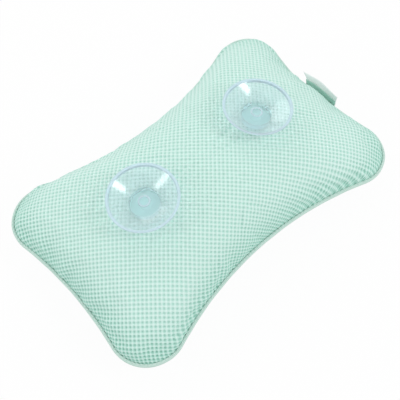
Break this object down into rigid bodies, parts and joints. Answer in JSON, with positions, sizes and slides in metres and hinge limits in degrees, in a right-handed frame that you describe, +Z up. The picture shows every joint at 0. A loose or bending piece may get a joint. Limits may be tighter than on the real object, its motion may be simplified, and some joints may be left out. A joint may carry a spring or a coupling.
{
  "type": "bath pillow",
  "caption": "Dog-bone bath pillow of mint air mesh with a bound seam, clear suction cups on its back that grip a tub wall, and a small label in one end.",
  "frame": {"origin": "on the face that the pillow rests on, under the middle of its outline", "axes": "+X along the pillow's length towards the end with the label, +Z up, out of its back, on the side of the suction cups"},
  "size_m": [0.303, 0.195, 0.1007],
  "materials": {
    "air_mesh": "warp-knitted spacer mesh, matte, small open holes",
    "binding_tape": "folded woven tape, matte",
    "thread": "spun polyester thread",
    "bag_cloth": "thin non-woven cloth",
    "fibre": "crimped polyester fibre",
    "clear_pvc": "clear soft PVC, moulded smooth, faintly blue",
    "patch_cloth": "woven reinforcing cloth",
    "washer_plastic": "moulded, satin",
    "label_satin": "white woven satin, bare"
  },
  "bodies": {
    "cover": {"back_panel": "air_mesh", "front_panel": "air_mesh", "edge_binding": "binding_tape", "seam_thread_back": "thread", "seam_thread_front": "thread", "liner_back": "bag_cloth", "liner_front": "bag_cloth", "fibre_fill": "fibre", "cup_patch_left": "patch_cloth", "cup_patch_right": "patch_cloth", "cup_washer_left": "washer_plastic", "cup_washer_right": "washer_plastic"},
    "left_cup": {"suction_cup_left": "clear_pvc"},
    "right_cup": {"suction_cup_right": "clear_pvc"},
    "label": {"side_label": "label_satin", "label_tape": "binding_tape"}
  },
  "joints": [
    {"name": "left_cup_spin", "type": "hinge", "parent": "cover", "child": "left_cup", "pos_m": [-0.06138, 0, 0.07972], "axis": [-0.1032, 0, 0.9947], "continuous": true},
    {"name": "right_cup_spin", "type": "hinge", "parent": "cover", "child": "right_cup", "pos_m": [0.06138, 0, 0.07972], "axis": [0.1032, 0, 0.9947], "continuous": true},
    {"name": "label_flap", "type": "hinge", "parent": "cover", "child": "label", "pos_m": [0.14883, 0, 0.036], "axis": [0, 1, 0], "range_deg": [-10, 150], "stiffness_Nm_per_rad": 0.001}
  ]
}
